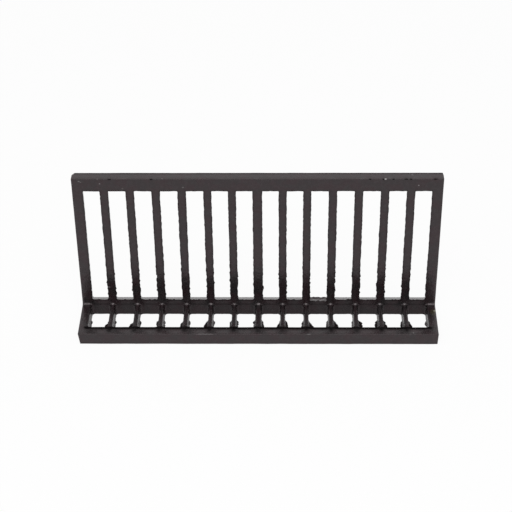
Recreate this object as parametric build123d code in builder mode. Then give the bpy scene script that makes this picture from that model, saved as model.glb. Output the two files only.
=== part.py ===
from build123d import *
import os
from math import radians, tan

# Ductile iron drain grate, cast in one piece: a screen of tall slots standing on a slotted foot.
# Millimetres. X runs along the grate, Y from front to back, and Z up from the foot's underside.
# The origin lies under the middle of the foot.

# Overall sizes
height = 139.7
depth = 50.8
screen_thickness = 9.5
foot_thickness = 10.7

# Bars and slots, as wide as they are on the front face of the screen
centre_bar_width = 7.75
inner_bar_width = 6.45
bar_width = 6.8
end_bar_width = 9.0
inner_slot_width = 13.75
slot_width = 14.5
end_slot_width = 13.9
inner_slot_count = 2
outer_slot_count = 4

# Slots of the screen. They open towards the back, and their sills fall away to the back.
sill_height = 15.6
top_rail_height = 11.9
slot_draft = 6.0
sill_slope = 25.0
slot_low_radius = 1.7
slot_high_radius = 0.8

# Windows of the foot. They open upwards, and their ribs are a step narrower than the bars above.
front_rail_depth = 9.4
rib_step = 1.6
window_draft = 3.0
window_rear_radius = 2.4
window_front_radius = 3.0

# The foot's ends lean in towards the floor, below a gentle bend from the upright ends above.
end_lean = 6.0
bend_radius = 12.0

# Rounding of the outer edges, of the end rims and of the root where the screen meets the ribs,
# and the broken edge round each slot's mouths
edge_radius = 0.6
end_radius = 0.5
root_radius = 2.0
mouth_chamfer = 0.4

# Right half of the row, from the centre bar outwards: each slot with the bar on its outer side
half_row = (
    [(inner_slot_width, inner_bar_width)] * inner_slot_count
    + [(slot_width, bar_width)] * outer_slot_count
    + [(end_slot_width, end_bar_width)]
)
half_length = centre_bar_width / 2 + sum(slot + bar for slot, bar in half_row)

# Faces of the grate, and how far a core runs past the metal that it cuts
front = -depth / 2
back = depth / 2
screen_front = back - screen_thickness
rail_back = front + front_rail_depth
slot_top = height - top_rail_height
foot_end = half_length - foot_thickness * tan(radians(end_lean))
overrun = 1.0


def spans():
    """Left and right edges of each slot of the right half, on the front face of the screen."""
    edge = centre_bar_width / 2
    for slot, bar in half_row:
        yield edge, edge + slot
        edge += slot + bar


def crossed_views(side_view, other_view, plane):
    """Solid whose view from the side and whose view on another plane are the two given outlines."""
    with BuildPart() as solid:
        with BuildSketch(Plane.YZ):
            with BuildLine():
                Polyline(*side_view, close=True)
            make_face()
        extrude(amount=half_length)
        with BuildSketch(plane):
            with BuildLine():
                Polyline(*other_view, close=True)
            make_face()
        extrude(amount=height, mode=Mode.INTERSECT)
    return solid.part


def edges_through(core, axis):
    """Edges of a core that run its whole way through the metal, along an axis."""
    return core.edges().filter_by(lambda edge: abs((edge % 0.5).dot(axis.direction)) > 0.5)


def slot_core(left, right):
    """Core of one slot. It widens towards the back, and its sill falls away."""
    near, far = screen_front - overrun, back + overrun

    def flare(place):
        return (place - screen_front) * tan(radians(slot_draft))

    def sill(place):
        return sill_height - (place - screen_front) * tan(radians(sill_slope))

    side_view = [
        (near, sill(near)), (far, sill(far)),
        (far, slot_top + flare(far)), (near, slot_top + flare(near)),
    ]
    plan = [
        (left - flare(near), near), (right + flare(near), near),
        (right + flare(far), far), (left - flare(far), far),
    ]
    with BuildPart() as core:
        add(crossed_views(side_view, plan, Plane.XY))
        fillet(edges_through(core, Axis.Y).sort_by(Axis.Z)[:2], slot_low_radius)
        fillet(edges_through(core, Axis.Y).sort_by(Axis.Z)[-2:], slot_high_radius)
    return core.part


def window_core(left, right):
    """Core of one window. It widens upwards from the floor."""
    low, high = -overrun, foot_thickness + root_radius + overrun

    def flare(level):
        return (level - foot_thickness) * tan(radians(window_draft))

    side_view = [
        (rail_back - flare(low), low), (screen_front, low),
        (screen_front, high), (rail_back - flare(high), high),
    ]
    front_view = [
        (left - rib_step - flare(low), low), (right + rib_step + flare(low), low),
        (right + rib_step + flare(high), high), (left - rib_step - flare(high), high),
    ]
    with BuildPart() as core:
        add(crossed_views(side_view, front_view, Plane.XZ.offset(-back)))
        fillet(edges_through(core, Axis.Z).sort_by(Axis.Y)[:2], window_front_radius)
        fillet(edges_through(core, Axis.Z).sort_by(Axis.Y)[-2:], window_rear_radius)
    return core.part


def rim(faces):
    """Edges round a group of faces, leaving out the seams between them."""
    edges = faces.edges()
    return [edge for edge in edges if sum(edge.is_same(other) for other in edges) == 1]


def mouths(face):
    """Edges of every opening in one face."""
    return [edge for wire in face.inner_wires() for edge in wire.edges()]


cores = [core(left, right) for core in (slot_core, window_core) for left, right in spans()]

# The right half is the front outline of the grate, cut to its section and then opened by the cores.
with BuildPart() as grate:
    with BuildSketch(Plane.XZ) as outline:
        with BuildLine():
            Polyline(
                (0, 0), (foot_end, 0), (half_length, foot_thickness), (half_length, height), (0, height),
                close=True,
            )
        make_face()
        fillet(outline.vertices().sort_by(Axis.Y)[2], bend_radius)
    extrude(amount=depth / 2, both=True)
    with BuildSketch(Plane.YZ) as section:
        with BuildLine():
            Polyline(
                (front, 0), (back, 0), (back, height), (screen_front, height),
                (screen_front, foot_thickness), (front, foot_thickness), close=True,
            )
        make_face()
        root = (screen_front, foot_thickness)
        fillet(section.vertices().sort_by_distance(root)[1:], edge_radius)
        fillet(section.vertices().sort_by_distance(root)[0], root_radius)
    extrude(amount=half_length, mode=Mode.INTERSECT)
    end_faces = grate.faces().filter_by(lambda face: face.center().X > foot_end)
    fillet(rim(end_faces), end_radius)
    add(cores, mode=Mode.SUBTRACT)

    upright_faces = grate.faces().filter_by(Plane.XZ)
    chamfer(mouths(upright_faces.sort_by(SortBy.AREA)[-1]), mouth_chamfer)
    chamfer(mouths(grate.faces().sort_by(Axis.Y)[-1]), mouth_chamfer)
    mirror(about=Plane.YZ)

grate.part.label = "grate"
os.makedirs("parts", exist_ok=True)
export_step(grate.part, "parts/grate.step")
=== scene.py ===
from math import radians, tan

import bpy
import numpy as np
from mathutils import Matrix, Vector


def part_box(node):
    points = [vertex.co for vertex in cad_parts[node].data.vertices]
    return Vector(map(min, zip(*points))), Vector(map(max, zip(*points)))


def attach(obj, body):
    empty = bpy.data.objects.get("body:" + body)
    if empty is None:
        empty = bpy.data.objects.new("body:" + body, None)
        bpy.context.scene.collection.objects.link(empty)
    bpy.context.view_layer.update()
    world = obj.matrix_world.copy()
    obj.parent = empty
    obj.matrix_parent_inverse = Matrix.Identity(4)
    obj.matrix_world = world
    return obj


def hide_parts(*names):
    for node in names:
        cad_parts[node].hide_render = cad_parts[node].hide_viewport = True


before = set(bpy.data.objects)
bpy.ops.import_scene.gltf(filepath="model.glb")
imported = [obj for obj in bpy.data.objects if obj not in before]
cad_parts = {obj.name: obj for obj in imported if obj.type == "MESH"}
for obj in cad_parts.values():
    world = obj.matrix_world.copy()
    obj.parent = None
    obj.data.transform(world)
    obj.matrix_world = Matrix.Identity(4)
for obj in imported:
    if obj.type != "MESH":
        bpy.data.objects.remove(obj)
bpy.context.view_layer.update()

mm = 0.001

# Sizes of the casting. X runs along the grate, Y from front to back, Z up from the foot's underside.
(left_end, front, _), (right_end, back, height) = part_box("grate")
half_length = (right_end - left_end) / 2
screen_thickness = 9.5 * mm
foot_thickness = 10.7 * mm
screen_front = back - screen_thickness

# Bars and slots, as wide as they are on the front face of the screen
centre_bar = 7.75 * mm
inner_bar = 6.45 * mm
bar = 6.8 * mm
inner_slot = 13.75 * mm
slot = 14.5 * mm
end_slot = 13.9 * mm
inner_slot_count = 2
outer_slot_count = 4

# Slots of the screen, which open towards the back
sill_height = 15.6 * mm
top_rail_height = 11.9 * mm
slot_top = height - top_rail_height
slot_draft = radians(6.0)
sill_slope = radians(25.0)
back_sill = sill_height - screen_thickness * tan(sill_slope)
slot_low_radius = 1.7 * mm
slot_high_radius = 0.8 * mm

# Windows of the foot and the ribs between them
rail_depth = 9.7 * mm
rail_back = front + rail_depth
rib_step = 1.6 * mm
window_draft = radians(3.0)
window_front_radius = 2.6 * mm
window_rear_radius = 2.4 * mm

# Rounding of the mouths, the outer edges and the root where foot and screen meet
slot_mouth_radius = 0.15 * mm
rib_top_radius = 0.9 * mm
rail_mouth_radius = 0.2 * mm
edge_radius = 0.25 * mm
end_radius = 0.35 * mm
root_reach = 2.9 * mm
root_depth = 2.0 * mm

# How much the foot's ends lean in between the bend and the floor
left_lean = 1.4 * mm
right_lean = 0.5 * mm
bend_reach = 0.8 * mm

# The top's back corners are worn round in plan, from a depth below the top upwards.
left_corner_radius = 3.2 * mm
right_corner_radius = 1.3 * mm
worn_depth = 8.0 * mm
worn_fade = 6.0 * mm

# The slots' mouths are ragged, more so low down, where single nubs stand in as well, and a burr stands in
# all round them. Every wave of noise, here and below, has its height, its size and its seed.
ragged_waves = ((0.34 * mm, 1.9 * mm, 11), (0.18 * mm, 5.5 * mm, 12))
ragged_height = 62.0 * mm
ragged_fade = 30.0 * mm
burr = 0.17 * mm
nub = 0.55 * mm
nub_spacing = 2.1 * mm
nub_seed = 15
nub_threshold = 0.3

# The seam of each slot's core leaves a nick of metal standing up in the middle of its sill.
seam_nick = 0.45 * mm
seam_reach = 1.3 * mm

# The tenth slot's sill is broken away along its front edge and rough.
chipped_slot = 9
chip_depth = 1.5 * mm
chip_waves = ((0.8 * mm, 1.6 * mm, 23),)
highest_chip, deepest_chip = -0.6 * mm, 2.6 * mm

# Flash: thin metal that ran out between the moulds and stands in from the windows' walls at the floor.
# Each window has its reach from the left wall and from the right, half way along and at the front of the
# part that shows, in millimetres, read off the photograph.
flash_reaches = (
    (1.1, 0.7, 1.4, 3.3), (1.0, 0.7, 1.2, 3.9), (1.0, 0.7, 2.4, 1.6), (0.7, 0.7, 1.4, 2.9),
    (1.0, 0.7, 1.8, 3.5), (1.2, 0.7, 1.5, 1.5), (1.5, 1.1, 1.6, 1.1), (1.6, 2.0, 0.8, 2.7),
    (1.6, 2.4, 1.3, 2.0), (1.2, 3.7, 1.2, 1.9), (1.8, 3.9, 1.0, 1.0), (2.9, 3.6, 2.2, 2.2),
    (1.7, 3.3, 1.0, 1.7), (2.0, 3.4, 1.4, 0.7),
)
first_flash_seed = 41

# Flash along a side wall, going forward: the Y where it starts and the length over which it comes in, the
# Y of its half-way reach, and the length from there to its reach at the front, which it may run past
flash_start = 6.0 * mm
flash_rise = 2.2 * mm
flash_middle = 3.5 * mm
flash_run = 4.8 * mm
longest_run = 1.25

# The flash's ragged edge, which the plain wall has a share of, and the strips along the front and the rear
flash_nub = 0.5 * mm
flash_nub_size = 1.7 * mm
flash_edge = 0.12 * mm
plain_wall_share = 0.3
front_flash = 0.8 * mm
front_flash_reach = 4.0 * mm
fringe = 0.2 * mm
fringe_wave = (fringe, 1.8 * mm, 31)

# The flash's section: levels above the floor, and the share of its reach at each
flash_levels = np.array((2.4, 1.5, 0.9, 0.5, 0.2, 0.0)) * mm
flash_shares = (0.06, 0.45, 0.8, 1.0, 1.0, 0.92)

# Roughness of the windows' walls above the flash
wall_wave = (0.35 * mm, 1.7 * mm, 37)

# Nicks along the top's front edge: place along X and half width, in millimetres, and how they are pressed in
edge_nicks = (
    (-120.9, 1.7), (-86.6, 1.5), (91.9, 1.7), (103.0, 1.1),
    (111.0, 1.3), (121.6, 1.8), (125.4, 1.4), (145.6, 1.9),
)
nick_depth = 0.4 * mm
nick_reach = 1.3 * mm
nick_direction = np.array((0.0, 0.6, -0.8))

# The cast skin's own unevenness, sunk a little so that it stays inside the CAD's box
skin_waves = ((0.03 * mm, 2.6 * mm, 3), (0.07 * mm, 11.0 * mm, 7))
skin_depth = 0.02 * mm

# Large numbers that scatter the random values of neighbouring lattice corners
lattice_scatter = np.array((73856093, 19349663, 83492791))
seed_shift = 17.31
seed_scatter = 1013904223
value_scatter = 1274126177


def ramp(distance, reach):
    """Zero below -reach and the distance itself above reach, joined by a parabola."""
    reach = np.maximum(reach, 1e-6)
    blend = (distance + reach) ** 2 / (4 * reach)
    return np.where(distance < -reach, 0.0, np.where(distance > reach, distance, blend))


def smooth(share):
    """Rises from 0 to 1 as the share does, level at both ends."""
    share = np.clip(share, 0.0, 1.0)
    return share * share * (3 - 2 * share)


def outside(places, low, high):
    """How far places lie outside a range, and 0 inside it."""
    return np.maximum(0, np.maximum(low - places, places - high))


def points_at(*axes):
    """Points from the arrays of their coordinates, or one value where all of them share it."""
    return np.stack(np.broadcast_arrays(*axes), axis=-1)


def between(first, second, share):
    """Points a share of the way from one ring to another."""
    return tuple((1 - share) * a + share * b for a, b in zip(first, second))


def lattice_noise(points, size, seed):
    """Smooth random values from -1 to 1 that change over a distance of size.

    Each corner of a cubic lattice gets a hashed value, and a point blends the eight corners round it.
    """
    place = points / size + seed * seed_shift
    cell = np.floor(place).astype(np.int64)
    part = smooth(place - cell)
    total = np.zeros(len(points))
    for corner in np.ndindex(2, 2, 2):
        key = (cell + corner) * lattice_scatter
        key = np.bitwise_xor(np.bitwise_xor(key[:, 0], key[:, 1]), key[:, 2] + seed * seed_scatter)
        key = (key ^ (key >> 13)) * value_scatter & 0x7FFFFFFF
        value = ((key ^ (key >> 16)) & 0xFFFF) / 32767.5 - 1
        weight = np.where(corner, part, 1 - part).prod(axis=1)
        total += weight * value
    return total


def waves(points, *settings):
    """Sum of waves of noise over points, each with its height, its size and its seed."""
    return sum(rise * lattice_noise(points, size, seed) for rise, size, seed in settings)


def end_plane(side, level):
    """X of an end face at a height: upright, then leaning in below the foot's top."""
    lean = right_lean if side > 0 else left_lean
    return side * (half_length - lean / foot_thickness * ramp(foot_thickness - level, bend_reach))


def slot_spans():
    """Left and right edges of the 14 slots on the front face of the screen."""
    half_row = (
        [(inner_slot, inner_bar)] * inner_slot_count
        + [(slot, bar)] * outer_slot_count
        + [(end_slot, bar)]
    )
    edge = centre_bar / 2
    found = []
    for width, bar_beside in half_row:
        found += [(edge, edge + width), (-edge - width, -edge)]
        edge += width + bar_beside
    return sorted(found)


spans = slot_spans()
bar_middles = [(before[1] + after[0]) / 2 for before, after in zip(spans, spans[1:])]

# Each opening has a cell of metal round it. Cells meet in the bars' middles, and the plain rails lie beyond.
cell_margin = 3.4 * mm
cell_edges = [spans[0][0] - cell_margin] + bar_middles + [spans[-1][1] + cell_margin]


class Side:
    """Stations along one side of an opening, from the middle of one corner's arc to the next.

    outer is the share of the cell's edge, straight the share of the straight stretch between the
    arcs, and tilt how far the outline has turned from the side's own direction. Each arc is given by its
    count of stations and by its share of the cell's edge.
    """

    def __init__(self, first_arc, stretch, last_arc, first_share, last_share):
        turn = radians(45)
        self.outer = np.concatenate([
            np.linspace(0, first_share, first_arc, endpoint=False),
            first_share + (1 - first_share - last_share) * stretch,
            np.linspace(1, 1 - last_share, last_arc, endpoint=False)[::-1],
        ])
        self.straight = np.concatenate([np.zeros(first_arc), stretch, np.ones(last_arc)])
        self.tilt = np.concatenate([
            np.linspace(-turn, 0, first_arc, endpoint=False),
            np.zeros(len(stretch)),
            np.linspace(turn, 0, last_arc, endpoint=False)[::-1],
        ])


class Opening:
    """Closed ring of stations round an opening, from one short side and one long side and their mirrors."""

    def __init__(self, short, long):
        none = np.zeros(len(short.outer) - 1)
        full = np.ones(len(short.outer) - 1)
        low = np.zeros(len(long.outer) - 1)
        high = np.ones(len(long.outer) - 1)
        ahead, astern = slice(None, -1), slice(None, 0, -1)
        self.outer_x = np.concatenate([short.outer[ahead], high, short.outer[astern], low])
        self.outer_s = np.concatenate([none, long.outer[ahead], full, long.outer[astern]])
        self.share_x = np.concatenate([short.straight[ahead], high, short.straight[astern], low])
        self.share_s = np.concatenate([none, long.straight[ahead], full, long.straight[astern]])
        self.normal_x = np.concatenate([
            np.sin(short.tilt[ahead]), np.cos(long.tilt[ahead]),
            np.sin(short.tilt[astern]), -np.cos(long.tilt[astern]),
        ])
        self.normal_s = np.concatenate([
            -np.cos(short.tilt[ahead]), np.sin(long.tilt[ahead]),
            np.cos(short.tilt[astern]), np.sin(long.tilt[astern]),
        ])

    def edge(self, x_low, x_high, s_low, s_high):
        """Points on the cell's own rectangle."""
        return x_low + self.outer_x * (x_high - x_low), s_low + self.outer_s * (s_high - s_low)

    def outline(self, x_low, x_high, s_low, s_high, low_radius, high_radius, grown=0.0):
        """Points on a rectangle with rounded corners, moved outwards by a distance."""
        radius = low_radius + (high_radius - low_radius) * self.share_s
        x = x_low + radius + self.share_x * (x_high - x_low - 2 * radius)
        s = s_low + low_radius + self.share_s * (s_high - s_low - low_radius - high_radius)
        return x + (radius + grown) * self.normal_x, s + (radius + grown) * self.normal_s


# Stations: the short sides of slots and windows share one spacing, so that their cells meet.
# The windows' long sides have more of them where the flash grows.
short_side = Side(4, np.linspace(0, 1, 11), 4, 0.16, 0.16)
slot_side = Side(4, np.linspace(0, 1, 105), 3, 0.035, 0.03)
window_stretch = np.concatenate([
    np.linspace(0, 0.4, 6), np.linspace(0.43, 0.73, 11), np.linspace(0.8, 1, 6),
])
window_side = Side(5, window_stretch, 5, 0.13, 0.12)
slot_ring = Opening(short_side, slot_side)
window_ring = Opening(short_side, window_side)

# Where the cells end on each face, along the height for slots and the depth for windows.
# A window's cell runs up the screen's front, and ends a belt's height below the slot's cell.
below_sill = 3.0 * mm
joint_height = 0.9 * mm
back_mouth_rise = 1.0 * mm
slot_cell_low = sill_height - below_sill
slot_cell_high = slot_top + cell_margin
back_cell_low = back_sill - cell_margin
back_cell_high = slot_cell_high + back_mouth_rise
window_cell_front = rail_back - cell_margin
window_cell_rear = screen_front + (slot_cell_low - foot_thickness) - joint_height
under_cell_rear = screen_front + cell_margin

# Rows: shares of the way from a cell's edge to its mouth and out to the ends, and turns of the mouths
ring_shares = (0.0, 0.38, 0.72, 1.0)
back_ring_shares = (0.0, 0.5, 1.0)
end_shares = (0.0, 0.35, 0.7, 1.0)
quarter = np.radians((22.5, 45.0, 67.5, 90.0))
coarse_quarter = np.radians((45.0, 90.0))

# Rows down a slot's wall, as a share of its depth, and how much of the mouth's raggedness is left there
wall_rows = ((0.12, 0.35), (0.4, 0.0), (0.7, 0.0), (1.0, 0.0))

# Rows down a window's wall above the flash, and the share of its length over which the rail's sharp mouth
# passes into the ribs' rounding at the front, and the wall's roughness fades out at the rear
window_wall_shares = (0.2, 0.4, 0.6, 0.8)
window_end_share = 0.1


def corner_steps(radius, turns):
    """Depth and growth of each row of a rounded mouth: a quarter circle from the face into the wall."""
    return [(radius * (1 - np.cos(turn)), radius * (1 - np.sin(turn))) for turn in turns]


def raggedness(x, z, middle):
    """How far a slot's mouth stands back from its true line.

    Waves of noise, at 0.7 of their height up high and 1.3 low down, less a burr, single nubs of metal low
    down and a nick in the middle of the sill.
    """
    places = points_at(x, screen_front, z)
    low_down = smooth((ragged_height - z) / ragged_fade)
    standing_in = (lattice_noise(places, nub_spacing, nub_seed) - nub_threshold) / nub_threshold
    nubs = nub * low_down * smooth(standing_in)
    nick = seam_nick * smooth(1 - np.abs(x - middle) / seam_reach) * (z < sill_height + seam_reach)
    return waves(places, *ragged_waves) * (0.7 + 0.6 * low_down) - burr - nubs - nick


def chips(x, depth_in):
    """How far a broken sill lies below its true line: deepest at the front edge, and rough right back.

    It is 0 at the stations that don't face down.
    """
    depth = chip_depth * (1 - depth_in / screen_thickness) + waves(points_at(x, depth_in, 0.0), *chip_waves)
    on_sill = smooth(-2 * slot_ring.normal_s - 1)
    return np.clip(depth, highest_chip, deepest_chip) * on_sill


def slot_cell(left, right, cell_left, cell_right, chipped=False):
    """One slot: its ring on the screen's front, rounded mouth, drafted walls, back mouth and back ring.

    Returns rows of points, front to back, each a closed ring of stations.
    """
    rows = []

    def outline(depth_in, grown):
        flare = depth_in * tan(slot_draft)
        sill = sill_height - depth_in * tan(sill_slope)
        sides = left - flare, right + flare, sill, slot_top + flare
        if chipped:
            x, _ = slot_ring.outline(*sides, slot_low_radius, slot_high_radius)
            grown = grown + chips(x, depth_in)
        return slot_ring.outline(*sides, slot_low_radius, slot_high_radius, grown)

    def row(depth_in, x, z):
        rows.append(points_at(x, screen_front + depth_in, z))

    edge = slot_ring.edge(cell_left, cell_right, slot_cell_low, slot_cell_high)
    ragged = raggedness(*outline(0.0, 0.0), (left + right) / 2)
    mouth = outline(0.0, slot_mouth_radius + ragged)
    for share in ring_shares:
        row(0.0, *between(edge, mouth, share))
    for depth_in, grown in corner_steps(slot_mouth_radius, coarse_quarter):
        row(depth_in, *outline(depth_in, grown + ragged))
    for share, fade in wall_rows:
        depth_in = slot_mouth_radius + share * (screen_thickness - 2 * slot_mouth_radius)
        row(depth_in, *outline(depth_in, fade * ragged))
    for rise, grown in corner_steps(slot_mouth_radius, coarse_quarter)[-2::-1]:
        row(screen_thickness - rise, *outline(screen_thickness - rise, grown))
    edge = slot_ring.edge(cell_left, cell_right, back_cell_low, back_cell_high)
    mouth = outline(screen_thickness, slot_mouth_radius)
    for share in back_ring_shares[::-1]:
        row(screen_thickness, *between(edge, mouth, share))
    return np.stack(rows)


def folded(x, s, depth_in):
    """Point of the foot's top, folded up the screen's front beyond the root, and sunk by a depth."""
    beyond = s - screen_front
    return x, screen_front - np.maximum(-beyond, 0), foot_thickness + np.maximum(beyond, 0) - depth_in


def flash_width(s, half_way, at_front, seed):
    """How far the flash stands in from a window's side wall: none at the rear, then ragged and growing."""
    nubs = flash_nub * lattice_noise(points_at(seed * 7 * mm, s, 0.0), flash_nub_size, seed) + flash_edge
    run = np.clip((flash_middle - s) / flash_run, 0.0, longest_run)
    begun = smooth((flash_start - s) / flash_rise)
    return begun * (half_way + (at_front - half_way) * run + nubs) + plain_wall_share * nubs


def flashed(x, s, sides, share, flash, seed):
    """A ring of a window's wall with a share of its flash, moved in from the sides, the front and the rear.

    Each point takes the flash of either side wall in proportion to how near that wall is. The rear strip
    lies in the window's rear quarter.
    """
    low, high = sides
    left_half_way, left_front, right_half_way, right_front = flash
    across = np.clip((x - low) / (high - low), 0.0, 1.0)
    from_left = flash_width(s, left_half_way, left_front, seed)
    from_right = flash_width(s, right_half_way, right_front, seed + 1)
    rear_fringe = fringe + waves(points_at(x, s, 0.0), fringe_wave)
    toward_rear = smooth((s - rail_back) / (screen_front - rail_back) * 4 - 3)
    toward_front = smooth(1 - (s - rail_back) / front_flash_reach)
    x = x + share * ((1 - across) * from_left - across * from_right)
    s = s + share * (toward_front * front_flash - toward_rear * rear_fringe)
    return x, s


def window_cell(left, right, cell_left, cell_right, flash, seed):
    """One window: its ring on the ribs and rail, rounded rib tops, drafted walls, flash and underside ring.

    The ring's rear side lies on the cross rail, so its rows run straight down into the rear wall.
    flash gives how far it stands in from the left wall and the right one, half way along and at the front.
    """
    def widths(depth_in):
        inset = rib_step - depth_in * tan(window_draft)
        return left - inset, right + inset

    def outline(depth_in, grown):
        low, high = widths(depth_in)
        front_edge = rail_back + depth_in * tan(window_draft)
        return window_ring.outline(
            low, high, front_edge, screen_front, window_front_radius, window_rear_radius, grown
        )

    from_front = smooth(window_ring.share_s / window_end_share)
    at_rear = smooth((window_ring.share_s - 1 + window_end_share) / window_end_share)
    rounding = rail_mouth_radius + (rib_top_radius - rail_mouth_radius) * from_front
    edge = window_ring.edge(cell_left, cell_right, window_cell_front, window_cell_rear)
    mouth = outline(0.0, rounding)
    rows = [folded(*between(edge, mouth, share), 0.0) for share in ring_shares]
    for depth_in, grown in corner_steps(rounding, quarter):
        rows.append(folded(*outline(depth_in, grown), depth_in))
    deep = foot_thickness - flash_levels[0]
    for share in window_wall_shares:
        depth_in = rounding + share * (deep - rounding)
        level = foot_thickness - depth_in
        inwards = np.minimum(0.0, share * waves(points_at(*outline(depth_in, 0.0), level), wall_wave))
        rows.append((*outline(depth_in, inwards * (1 - at_rear)), level))
    for level, share in zip(flash_levels, flash_shares):
        depth_in = foot_thickness - level
        mouth = flashed(*outline(depth_in, 0.0), widths(depth_in), share, flash, seed)
        rows.append((*mouth, level))
    edge = window_ring.edge(cell_left, cell_right, window_cell_front, under_cell_rear)
    for share in ring_shares[-2::-1]:
        rows.append((*between(edge, mouth, share), 0.0))
    return np.stack([points_at(*row) for row in rows])


def turned_edge(centre, start, end, steps):
    """Points of a quarter-round edge in the YZ section, from one direction to another."""
    turns = np.radians(np.linspace(start, end, steps + 1))
    return points_at(centre[0] + edge_radius * np.cos(turns), centre[1] + edge_radius * np.sin(turns))


def straight_run(start, end, steps):
    """Points between two places in the YZ section, without the first and the last."""
    shares = np.linspace(0, 1, steps + 1)[1:-1, None]
    return (1 - shares) * np.array(start) + shares * np.array(end)


def joined(*parts):
    """Runs of points, one after another."""
    return np.concatenate([np.atleast_2d(part) for part in parts])


# Belts of the section between the cells, each a run of points (Y, Z) in the direction front, up, back
# and down. low_rim, high_rim and top_rim are the levels where the rounded edges begin.
low_rim = edge_radius
high_rim = foot_thickness - edge_radius
top_rim = height - edge_radius
front_belt = joined(
    (window_cell_front, 0.0),
    straight_run((window_cell_front, 0.0), (front + edge_radius, 0.0), 3),
    turned_edge((front + edge_radius, low_rim), 270, 180, 4),
    straight_run((front, low_rim), (front, high_rim), 5),
    turned_edge((front + edge_radius, high_rim), 180, 90, 4),
    straight_run((front + edge_radius, foot_thickness), (window_cell_front, foot_thickness), 3),
    (window_cell_front, foot_thickness),
)
joint_start = (screen_front, foot_thickness + window_cell_rear - screen_front)
joint_end = (screen_front, slot_cell_low)
joint_belt = joined(joint_start, straight_run(joint_start, joint_end, 8), joint_end)
top_belt = joined(
    (screen_front, slot_cell_high),
    straight_run((screen_front, slot_cell_high), (screen_front, top_rim), 4),
    turned_edge((screen_front + edge_radius, top_rim), 180, 90, 4),
    straight_run((screen_front + edge_radius, height), (back - edge_radius, height), 3),
    turned_edge((back - edge_radius, top_rim), 90, 0, 4),
    straight_run((back, top_rim), (back, back_cell_high), 4),
    (back, back_cell_high),
)
heel_belt = joined(
    (back, back_cell_low),
    straight_run((back, back_cell_low), (back, low_rim), 2),
    turned_edge((back - edge_radius, low_rim), 0, -90, 4),
    straight_run((back - edge_radius, 0.0), (under_cell_rear, 0.0), 2),
    (under_cell_rear, 0.0),
)


def section_loop():
    """The whole section of a rib and bar as one closed run of points, from the foot's front and round."""
    window_s = window_cell_front + window_side.outer * (window_cell_rear - window_cell_front)
    _, y, z = folded(window_s, window_s, 0.0)
    slot_z = slot_cell_low + slot_side.outer * (slot_cell_high - slot_cell_low)
    back_z = back_cell_low + slot_side.outer * (back_cell_high - back_cell_low)
    under_y = window_cell_front + window_side.outer * (under_cell_rear - window_cell_front)
    runs = [
        points_at(y, z), joint_belt, points_at(screen_front, slot_z), top_belt,
        points_at(back, back_z[::-1]), heel_belt, points_at(under_y[::-1], 0.0), front_belt,
    ]
    return np.concatenate([run[:-1] for run in runs])


def grid_faces(rows, columns, wrapped, first=0):
    """Quads of a grid of points, whose rows are closed rings if wrapped."""
    index = first + np.arange(rows * columns).reshape(rows, columns)
    if wrapped:
        index = np.concatenate([index, index[:, :1]], axis=1)
    corners = (index[:-1, :-1], index[:-1, 1:], index[1:, 1:], index[1:, :-1])
    return np.stack(corners, axis=-1).reshape(-1, 4)


class Skin:
    """Grids of points that together make one closed surface."""

    def __init__(self):
        self.points = []
        self.faces = []
        self.count = 0

    def add(self, grid, wrapped=False):
        """Add a grid of points, rows by columns."""
        rows, columns, _ = grid.shape
        self.faces.append(grid_faces(rows, columns, wrapped, self.count))
        self.points.append(grid.reshape(-1, 3))
        self.count += rows * columns

    def welded(self, step=1e-6, shift=0.217):
        """Points and faces with the points that fall together made one.

        Places are rounded to a step. A shift keeps whole and half steps off the borders of the rounding.
        """
        points = np.concatenate(self.points)
        faces = np.concatenate(self.faces)
        keys = np.round(points / step + shift).astype(np.int64)
        _, first, place = np.unique(keys, axis=0, return_index=True, return_inverse=True)
        return points[first], place.reshape(-1)[faces]


def belt_grid(belt, x):
    """A belt of the section carried along the grate: rows up the belt, columns along X."""
    grid = np.empty((len(belt), len(x), 3))
    grid[..., 0] = x
    grid[..., 1:] = belt[:, None, :]
    return grid


def loop_normals(loop):
    """Outward directions of a closed run of points (Y, Z), from the chord between each point's neighbours."""
    chord = np.roll(loop, -1, axis=0) - np.roll(loop, 1, axis=0)
    normals = points_at(-chord[:, 1], chord[:, 0])
    return normals / np.linalg.norm(normals, axis=1, keepdims=True)


def end_zone(side):
    """The grate beyond its last cell: the section carried out to the end and rounded over.

    Returns rows of the section's loop, from the last cell out to the rim of the end face.
    """
    loop = section_loop()
    normals = loop_normals(loop)
    cell_edge = cell_edges[-1] if side > 0 else cell_edges[0]
    rim = end_plane(side, loop[:, 1]) - side * end_radius
    rows = [np.column_stack([cell_edge + share * (rim - cell_edge), loop]) for share in end_shares]
    for turn in quarter:
        inset = loop - normals * end_radius * (1 - np.cos(turn))
        x = end_plane(side, inset[:, 1]) - side * end_radius * (1 - np.sin(turn))
        rows.append(np.column_stack([x, inset]))
    return np.stack(rows)


def end_cap(side, rim):
    """The end face: the rim's front run joined to its back run, station by station.

    Each row is a straight line across, and the first and last rows bulge out to the belts they follow.
    The bulge fades out over a few rows.
    """
    fade_rows = 10
    up = len(window_side.outer) + len(joint_belt) + len(slot_side.outer) - 3
    across = len(top_belt) - 1
    front_run = rim[: up + 1]
    top_run = rim[up: up + across + 1]
    back_run = rim[up + across: 2 * up + across + 1][::-1]
    front_end = np.concatenate([rim[2 * up + across:], rim[:1]])[::-1]
    shares = np.linspace(0, 1, across + 1)[:, None]
    grid = front_run[:, None] * (1 - shares) + back_run[:, None] * shares
    station = np.arange(up + 1)
    for run, steps_away in ((front_end, station), (top_run, station[::-1])):
        fade = np.clip(1 - steps_away / fade_rows, 0, 1) ** 2
        bulge = run - (run[0] * (1 - shares) + run[-1] * shares)
        grid += fade[:, None, None] * bulge
    return np.concatenate([end_plane(side, grid[..., 1])[..., None], grid], axis=-1)


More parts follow.
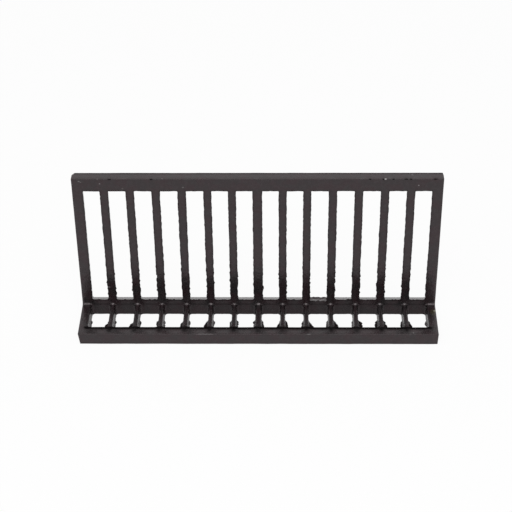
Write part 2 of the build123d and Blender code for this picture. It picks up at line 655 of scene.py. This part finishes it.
def casting_surface():
    """Points and faces of the whole casting: 28 cells, the belts between them and the two ends."""
    skin = Skin()
    columns = []
    for number, (left, right) in enumerate(spans):
        cell_left, cell_right = cell_edges[number], cell_edges[number + 1]
        flash = np.array(flash_reaches[number]) * mm
        flash_seed = first_flash_seed + 2 * number
        skin.add(slot_cell(left, right, cell_left, cell_right, number == chipped_slot), wrapped=True)
        skin.add(window_cell(left, right, cell_left, cell_right, flash, flash_seed), wrapped=True)
        columns.append(cell_left + short_side.outer * (cell_right - cell_left))
    x = np.unique(np.round(np.concatenate(columns), 9))
    for belt in (front_belt, joint_belt, top_belt, heel_belt):
        skin.add(belt_grid(belt, x))
    for side in (-1, 1):
        tube = end_zone(side)
        cap = end_cap(side, tube[-1][:, 1:])
        skin.add(tube if side < 0 else tube[:, ::-1], wrapped=True)
        skin.add(cap[::-1] if side < 0 else cap)
    return skin.welded()


def point_normals(points, faces):
    """Directions square to a surface at its points: the sum of the cross products of the faces' diagonals."""
    a, b, c, d = (points[faces[:, k]] for k in range(4))
    cross = np.cross(c - a, d - b)
    normals = np.zeros_like(points)
    for k in range(4):
        np.add.at(normals, faces[:, k], cross)
    return normals / np.maximum(np.linalg.norm(normals, axis=1, keepdims=True), 1e-12)


def rounded_root(points):
    """The points with the root under each bar filled out to a hollow curve, the same on foot and screen.

    On either face the distance from the root is run along the other face by a parabola. The curve ends
    before the mouths, and it fades inside the metal.
    """
    x, y, z = points.T
    middles, halves = np.array([((left + right) / 2, (right - left) / 2) for left, right in spans]).T
    beside_window = np.min(np.abs(x[:, None] - middles) - halves, axis=1) - rib_step
    reach = root_reach * smooth(beside_window / rib_top_radius)
    behind, above = y - screen_front, z - foot_thickness
    along = behind + above
    near_faces = smooth(1.5 - np.maximum(behind, -above) / root_depth)
    forward = ramp(-along, reach) - np.maximum(-along, 0)
    upward = ramp(along, reach) - np.maximum(along, 0)
    return np.column_stack([x, y - near_faces * forward, z + near_faces * upward])


def nicked(points):
    """The points with nicks pressed into the top's front edge, deepest in the middle of each."""
    x, y, z = points.T
    from_edge = np.hypot(y - screen_front, z - height)
    near = smooth(1.2 - from_edge / nick_reach)
    middles, widths = np.array(edge_nicks).T * mm
    deep = np.max(smooth(1.1 - np.abs(x[:, None] - middles) / widths), axis=1)
    return points + (nick_depth * near * deep)[:, None] * nick_direction


def worn_ends(points):
    """The points with the ends' zones squeezed inwards near the top, so that the back corners are round."""
    x, y, z = points.T
    zone = half_length - cell_edges[-1]
    near_top = smooth((z - height + worn_depth) / worn_fade)
    reach = np.clip(back - y, 0, None)
    cuts = []
    for radius in (left_corner_radius, right_corner_radius):
        inside = np.clip(radius - reach, 0, radius)
        cuts.append(near_top * (radius - np.sqrt(radius ** 2 - inside ** 2)))
    cut = np.where(x < 0, *cuts)
    beyond = np.clip(np.abs(x) - cell_edges[-1], 0, None)
    return np.column_stack([x - np.sign(x) * beyond / zone * cut, y, z])


# Painted highlights (glints) in the root under each bar, a pale colour, patchy, and longer, weaker ones at
# the ends
glint_height = 1.1 * mm
glint_width = 1.5 * mm
glint_wave = (0.35, 1.5 * mm, 51)
end_glint = 0.6

# Painted shade on the faces round the mouths: how strong it is there, how far it reaches and how far onto
# the rail, and the patches of painted dark reflection at the ribs' feet. It shows only within a small depth
# of a face.
slot_rim_shade = 0.5
window_rim_shade = 0.4
rim_shade_reach = 1.3 * mm
rail_shade_reach = 4.3 * mm
rail_shade_fade = 2.2 * mm
rail_blend = 1.5 * mm
rib_foot_dark_reflection = 1.25
rib_foot_width = 4.2 * mm
rib_foot_middle = rail_back - 3.0 * mm
rib_foot_depth = 5.5 * mm
shade_wave = (0.4, 3.5 * mm, 53)
face_depth = 1.2 * mm

# The top's dark back edge
back_edge_darkening = 0.9
back_edge_width = 1.0 * mm

# Bright facets of the broken sill: where their band begins and ends behind the screen's front, and the
# dirt behind them
facets_start = 0.6 * mm
facets_fade_in = 0.8 * mm
facets_end = 6.0 * mm
facets_fade_out = 2.0 * mm
facet_wave = (0.9, 1.3 * mm, 61)
sill_dirt = 0.8
sill_dirt_start = 4.0 * mm
sill_dirt_fade = 3.0 * mm


def beside_bars(x):
    """Distance along X to the middle of the nearest bar."""
    return np.min([np.abs(x - middle) for middle in bar_middles], axis=0)


def root_glint(points):
    """1 in the middle of each bar's root, falling to 0 with the distances along X and across the root."""
    x, y, z = points.T
    across = np.hypot(y - screen_front, z - foot_thickness)
    across_end = 1.3 * across + 0.3 * mm
    end_middle = (spans[-1][1] + right_end) / 2
    beside_end = np.maximum(np.abs(np.abs(x) - end_middle) - glint_width, 0)
    patchy = 0.8 + waves(points, glint_wave)
    on_bars = smooth(1.6 - across / glint_height) * smooth(1.25 - beside_bars(x) / glint_width)
    at_ends = smooth(1.6 - across_end / glint_height) * smooth(1.5 - beside_end / glint_width)
    return np.maximum(on_bars * patchy, at_ends * end_glint)


def on_broken_sill(points):
    """True for the points of the broken sill."""
    x, y, z = points.T
    left, right = spans[chipped_slot]
    over_sill = (z < sill_height) & (z > back_sill - 1 * mm)
    return (x > left) & (x < right) & over_sill & (y > screen_front - 0.1 * mm)


def bare_chips(points):
    """1 on the bright facets of the broken sill, which lie to its front, and 0 elsewhere."""
    behind = points[:, 1] - screen_front
    in_band = smooth((behind - facets_start) / facets_fade_in)
    in_band = in_band * smooth((facets_end - behind) / facets_fade_out)
    return on_broken_sill(points) * in_band * smooth(0.35 + waves(points, facet_wave))


def rim_shade_and_dirt(points):
    """1 at the front of the windows' mouths and where the ribs meet the rail, and less at the other mouths.

    It is painted shade, at the ribs' feet painted dark reflections of the bars, and falls to 0 on the faces
    round the mouths with the distance away. The top's back edge is darker too, and the broken sill behind its
    bright facets is dirty.
    """
    x, y, z = points.T
    nearest = np.argmin([np.maximum(left - x, x - right) for left, right in spans], axis=0)
    left, right = np.array(spans)[nearest].T
    patchy = 0.8 + waves(points, shade_wave)

    beside_slot = np.hypot(outside(x, left, right), outside(z, sill_height, slot_top))
    on_screen = smooth(1 - np.abs(y - screen_front) / face_depth)
    round_slots = slot_rim_shade * on_screen * smooth(1 - beside_slot / rim_shade_reach)

    beside_window = np.hypot(
        outside(x, left - rib_step, right + rib_step), outside(y, rail_back, screen_front)
    )
    on_rail = smooth((rail_back + rail_blend - y) / rail_blend)
    round_windows = window_rim_shade * (1 - on_rail) * smooth(1 - beside_window / rim_shade_reach)
    along_rail = on_rail * smooth((rail_shade_reach - beside_window) / rail_shade_fade) * (0.9 + 0.3 * patchy)
    # Painted dark reflections of the bars on the rail's top, before each rib's foot
    before_rib = smooth(1 - beside_bars(x) / rib_foot_width)
    before_rib = before_rib * smooth(1.1 - np.abs(y - rib_foot_middle) / rib_foot_depth)
    on_top = np.max([round_windows, along_rail, rib_foot_dark_reflection * patchy * before_rib], axis=0)
    on_foot = smooth(1 - np.abs(z - foot_thickness) / face_depth)

    on_back_edge = back_edge_darkening * smooth(1.5 - np.hypot(y - back, z - height) / back_edge_width)
    behind_facets = smooth((y - screen_front - sill_dirt_start) / sill_dirt_fade) * (y < back - 0.1 * mm)
    in_chips = sill_dirt * on_broken_sill(points) * behind_facets
    return np.max([round_slots, on_foot * on_top, on_back_edge, in_chips], axis=0)


def mesh_object(name, points, faces, material, masks=()):
    """A smooth mesh from arrays of points and quads, with named masks on its points."""
    mesh = bpy.data.meshes.new(name)
    mesh.from_pydata(points.tolist(), [], faces.tolist())
    mesh.polygons.foreach_set("use_smooth", np.ones(len(faces), dtype=bool))
    for mask, values in masks:
        mesh.attributes.new(mask, "FLOAT", "POINT").data.foreach_set("value", values)
    mesh.materials.append(material)
    mesh.update()
    piece = bpy.data.objects.new(name, mesh)
    bpy.context.scene.collection.objects.link(piece)
    return piece


class Field:
    """A value in a material. Sums and products of fields and numbers add Math nodes to its tree."""

    def __init__(self, tree, socket):
        self.tree = tree
        self.socket = socket

    def math(self, operation, *values, clamp=False):
        """Result of one Math node."""
        settings = {"operation": operation, "use_clamp": clamp}
        return self.tree.make("ShaderNodeMath", settings, dict(enumerate(values)))

    def __add__(self, other):
        return self.math("ADD", self, other)

    def __sub__(self, other):
        return self.math("SUBTRACT", self, other)

    def __rsub__(self, other):
        return self.math("SUBTRACT", other, self)

    def __mul__(self, other):
        return self.math("MULTIPLY", self, other)

    __radd__ = __add__
    __rmul__ = __mul__

    def clamped(self):
        """The value held between 0 and 1."""
        return self.math("ADD", self, 0.0, clamp=True)

    def absolute(self):
        """The value without its sign."""
        return self.math("ABSOLUTE", self)

    def larger(self, other):
        """The larger of two values."""
        return self.math("MAXIMUM", self, other)

    def rising(self, low, high):
        """0 below low and 1 above high, with a smooth step between."""
        inputs = {"Value": self, "From Min": low, "From Max": high}
        return self.tree.make("ShaderNodeMapRange", {"interpolation_type": "SMOOTHSTEP"}, inputs)


class Tree:
    """The node tree of one material or of the world, emptied and ready to be built."""

    def __init__(self, owner):
        owner.use_nodes = True
        self.nodes = owner.node_tree.nodes
        self.links = owner.node_tree.links
        self.nodes.clear()

    def make(self, kind, settings=None, inputs=None, output=0):
        """Add a node of a kind, with its settings first and then its sockets' values or links."""
        node = self.nodes.new(kind)
        for name, value in (settings or {}).items():
            setattr(node, name, value)
        for name, value in (inputs or {}).items():
            if isinstance(value, Field):
                self.links.new(value.socket, node.inputs[name])
            else:
                node.inputs[name].default_value = value
        return Field(self, node.outputs[output]) if node.outputs else node

    def place(self):
        """Object coordinates, in metres."""
        return self.make("ShaderNodeTexCoord", output="Object")

    def mask(self, name):
        """A mask stored on the mesh's points."""
        return self.make("ShaderNodeAttribute", {"attribute_name": name}, output="Fac")

    def noise(self, scale, detail=2.0, roughness=0.5):
        """Noise from 0 to 1 over the object's own coordinates, at a number of cells per metre."""
        inputs = {"Vector": self.place(), "Scale": scale, "Detail": detail, "Roughness": roughness}
        return self.make("ShaderNodeTexNoise", {}, inputs)

    def vector(self, operation, first, second=None, output=0):
        """Result of one Vector Math node."""
        inputs = {0: first} if second is None else {0: first, 1: second}
        return self.make("ShaderNodeVectorMath", {"operation": operation}, inputs, output)

    def mixed(self, share, first, second):
        """A colour between two colours."""
        return self.make("ShaderNodeMix", {"data_type": "RGBA"}, {0: share, 6: first, 7: second}, output=2)

    def relief(self, strength, distance, form, **others):
        """Direction of the surface with a bump on it, as far as a form from 0 to 1 stands out."""
        inputs = {"Strength": strength, "Distance": distance, "Height": form, **others}
        return self.make("ShaderNodeBump", {}, inputs)

    def strongest(self, marks, uneven):
        """Strength of a set of marks: each is full in its middle and fades out, and the strongest one counts.

        The distance from a mark's middle is measured in its own reaches, and a noise makes its edge uneven.
        """
        place = self.place()
        most = 0.0 * uneven
        for (x, y, z), along, across, strength in marks:
            offset = self.vector("SUBTRACT", place, (x * mm, y * mm, z * mm))
            scaled = self.vector("DIVIDE", offset, (along * mm, across * mm, across * mm))
            away = self.vector("LENGTH", scaled, output="Value")
            most = most.larger((1 - (away + uneven).rising(0.4, 1.1)) * strength)
        return most

    def seen_by(self, *rays):
        """1 for rays of the kinds named, and 0 for the rest."""
        first, *others = (self.make("ShaderNodeLightPath", output=ray) for ray in rays)
        for other in others:
            first = first.larger(other)
        return first


# Marks, each with its place, its reach along X and across it, all in millimetres, and its strength:
# pale ones of wear and two painted highlights along the rail's front-top edge, yellow-green ones of stain,
# and dark ones in the nicks of the top's front edge
pale_marks = (
    ((-146.0, 15.9, 137.4), 1.2, 0.8, 0.30), ((-144.6, 15.9, 136.6), 0.8, 0.7, 0.20),
    ((-129.0, 15.9, 135.1), 0.9, 0.9, 0.40), ((-130.5, 16.3, 139.5), 1.0, 0.6, 0.25),
    ((-60.9, 15.9, 131.5), 1.1, 0.7, 0.25), ((-110.5, 15.9, 130.3), 1.0, 0.7, 0.20),
    ((-77.5, 16.4, 139.6), 0.9, 0.6, 0.25), ((131.9, 15.9, 133.4), 0.7, 0.8, 0.50),
    ((104.6, 16.2, 139.6), 0.9, 0.8, 2.0), ((126.8, 22.0, 139.7), 1.2, 1.0, 0.20),
    # The marks at Y -25.2, here and on the next line, are painted highlights along the rail's front-top edge
    ((-128.4, 15.9, 29.2), 1.6, 0.8, 0.30), ((-44.6, -25.2, 10.6), 10.0, 0.7, 0.22),
    ((43.1, -25.2, 10.6), 2.2, 0.7, 0.22), ((131.1, -23.5, 10.7), 0.9, 0.8, 0.30),
    ((151.2, 6.8, 10.7), 1.3, 1.2, 1.2),
)
stain_marks = (((151.3, 6.6, 10.7), 1.0, 0.9, 1.0), ((149.8, 5.0, 10.7), 3.2, 5.5, 0.10))
nick_marks = [((place, 16.0, 139.5), half_width, 1.0, 0.9) for place, half_width in edge_nicks]

# Colours of the paint and of its marks
reddish = (0.0155, 0.0077, 0.0092, 1.0)
neutral = (0.0115, 0.0099, 0.0104, 1.0)
sheen_tint = (1.0, 0.87, 0.905, 1.0)
dusty = (0.032, 0.030, 0.031, 1.0)
pale = (0.10, 0.095, 0.09, 1.0)
black = (0.0, 0.0, 0.0, 1.0)
bare_iron_and_highlight = (0.30, 0.29, 0.29, 1.0)
stain = (0.17, 0.18, 0.05, 1.0)
glint_colour = (0.17, 0.16, 0.16, 1.0)

# Texture of the paint: noise in cells per metre, roughness, how far the bumps rise and the gloss that the
# darkened places lose, most of them painted shade
cloud_scale = 90.0
patch_scale = 110.0
ripple_scale = 420.0
speckle_scale = 1500.0
grain_scale = 2600.0
paint_roughness = 0.15
ripple_relief = 0.25 * mm
grain_relief = 0.10 * mm
rim_dulling = 0.9


def black_paint():
    """Semi-gloss black paint over sand-cast iron: uneven sheen, fine grain, small dull and pale specks."""
    material = bpy.data.materials.new("black_iron")
    tree = Tree(material)
    cloudy = tree.noise(cloud_scale, 3.0)
    grain = tree.noise(grain_scale, 3.0, 0.6)
    ripple = tree.noise(ripple_scale, 3.0, 0.55)
    patches = tree.noise(patch_scale, 3.0, 0.6)
    speckle = tree.noise(speckle_scale).rising(0.70, 0.78)
    uneven = ripple - 0.5
    broken = tree.mask("bare")
    shade_and_dirt = tree.mask("shade_and_dirt") * (0.55 + 0.6 * ripple)
    shade_and_dirt = shade_and_dirt.larger(tree.strongest(nick_marks, uneven)).clamped()
    wear_and_highlight = tree.strongest(pale_marks, uneven).larger(broken * 0.5).clamped()
    stained = tree.strongest(stain_marks, uneven).clamped()

    paint = tree.mixed(patches.rising(0.38, 0.62), reddish, neutral)
    paint = tree.mixed(ripple.rising(0.42, 0.72) * 0.3, paint, dusty)
    # Black over the painted shade round the mouths and at the ribs' feet, the dark back edge, the dark nicks
    # and the broken sill's dirty back
    paint = tree.mixed(shade_and_dirt, paint, black)
    paint = tree.mixed(speckle * 0.5, paint, pale)
    # Pale wear, and painted highlights along the rail's front-top edge, in the colour of bare iron
    paint = tree.mixed(wear_and_highlight, paint, bare_iron_and_highlight)
    paint = tree.mixed(stained, paint, stain)
    # Painted highlight: a pale colour in the roots under the bars
    paint = tree.mixed((tree.mask("glint") * 0.85).clamped(), paint, glint_colour)

    roughness = paint_roughness + 0.08 * cloudy + 0.06 * grain + 0.2 * speckle + 0.5 * shade_and_dirt.larger(broken)
    fine = tree.relief(0.35, grain_relief, grain)
    rough = tree.relief(0.6, ripple_relief, ripple, Normal=fine)
    finish = tree.make("ShaderNodeBsdfPrincipled", {}, {
        "Base Color": paint, "Metallic": (shade_and_dirt * rim_dulling).clamped(), "Roughness": roughness.clamped(),
        "Normal": rough, "IOR": 1.5, "Specular Tint": sheen_tint,
    })
    tree.make("ShaderNodeOutputMaterial", {}, {"Surface": finish})
    return material


# Light: how white the floor shows itself, to the camera, in reflections and in those under the foot, the
# sky's share on the object, and each lamp's name, place and size in metres and power in watts
camera_glow_share = 0.93
mirror_glow_share = 0.8
covered_glow_share = 0.05
covered_rim = 3.0 * mm
world_fill = 0.6
lamps = (("key", (0.0, -0.88, 1.21), 0.95, 9.5), ("side", (-1.1, -0.5, 0.9), 0.8, 1.0))
lamp_target = Vector((0.0, 0.0, 0.07))
floor_reach = 4.0
white = (1.0, 1.0, 1.0, 1.0)
light_grey = (0.9, 0.9, 0.9, 1.0)


def pale_floor():
    """Floor that shows white to the camera and in reflections, and still takes a faint shadow."""
    material = bpy.data.materials.new("pale_floor")
    tree = Tree(material)
    matt = tree.make("ShaderNodeBsdfDiffuse", {}, {"Color": light_grey})
    glow = tree.make("ShaderNodeEmission", {}, {"Color": white, "Strength": 1.0})
    beside, before = (
        tree.make("ShaderNodeSeparateXYZ", {}, {0: tree.place()}, output=axis).absolute() for axis in "XY"
    )
    past_ends = beside.rising(half_length, half_length + covered_rim)
    past_faces = before.rising(back, back + covered_rim)
    open_share = (mirror_glow_share - covered_glow_share) * past_ends.larger(past_faces)
    in_mirrors = tree.seen_by("Is Glossy Ray", "Is Transmission Ray") * (covered_glow_share + open_share)
    share = (tree.seen_by("Is Camera Ray") * camera_glow_share).larger(in_mirrors)
    shown = tree.make("ShaderNodeMixShader", {}, {0: share, 1: matt, 2: glow})
    tree.make("ShaderNodeOutputMaterial", {}, {"Surface": shown})
    return material


def build_floor():
    """Large flat floor under the foot."""
    sides = np.array([(-1, -1, 0), (1, -1, 0), (1, 1, 0), (-1, 1, 0)])
    floor = mesh_object("floor", floor_reach * sides, np.array([[0, 1, 2, 3]]), pale_floor())


def build_studio():
    """White surroundings, a soft lamp above and a weaker one in front."""
    world = bpy.data.worlds.new("studio")
    bpy.context.scene.world = world
    tree = Tree(world)
    seen = tree.seen_by("Is Camera Ray", "Is Glossy Ray", "Is Transmission Ray")
    strength = seen + (1 - seen) * world_fill
    sky = tree.make("ShaderNodeBackground", {}, {"Color": white, "Strength": strength})
    tree.make("ShaderNodeOutputWorld", {}, {"Surface": sky})
    for name, place, size, power in lamps:
        lamp = bpy.data.lights.new(name, "AREA")
        lamp.size = size
        lamp.energy = power
        holder = bpy.data.objects.new(name, lamp)
        holder.location = place
        holder.rotation_euler = (lamp_target - Vector(place)).to_track_quat("-Z", "Y").to_euler()
        bpy.context.scene.collection.objects.link(holder)


# Camera, fitted to the casting's edges in the photograph, with its focal length in the photograph's pixels
photo_width = 512
focal_pixels = 1524.0
camera_place = Vector((20.99, -1026.2, 818.3)) * mm
camera_pitch = radians(35.957)
camera_yaw = radians(-1.245)
camera_roll = radians(-0.718)


def build_camera():
    """Camera of the photograph: level turned by a yaw, then a pitch down and a roll about its own axis."""
    camera = bpy.data.cameras.new("camera")
    camera.sensor_width = 36.0
    camera.lens = focal_pixels * camera.sensor_width / photo_width
    camera.clip_start, camera.clip_end = 0.05, 50.0
    holder = bpy.data.objects.new("camera", camera)
    turn = Matrix.Rotation(-camera_yaw, 4, "Z") @ Matrix.Rotation(radians(90) - camera_pitch, 4, "X")
    holder.matrix_world = Matrix.Translation(camera_place) @ turn @ Matrix.Rotation(camera_roll, 4, "Z")
    bpy.context.scene.collection.objects.link(holder)
    bpy.context.scene.camera = holder


def build_grate():
    """The casting, standing for its CAD solid."""
    points, faces = casting_surface()
    points = rounded_root(points)
    unevenness = waves(points, *skin_waves) - skin_depth
    points = points + point_normals(points, faces) * unevenness[:, None]
    points = np.clip(worn_ends(nicked(points)), *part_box("grate"))
    masks = (("glint", root_glint(points)), ("shade_and_dirt", rim_shade_and_dirt(points)), ("bare", bare_chips(points)))
    piece = mesh_object("casting", points, faces, black_paint(), masks)
    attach(piece, "root")
    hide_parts("grate")


build_camera()
build_studio()
build_floor()
build_grate()

bpy.context.scene.view_settings.view_transform = "Standard"
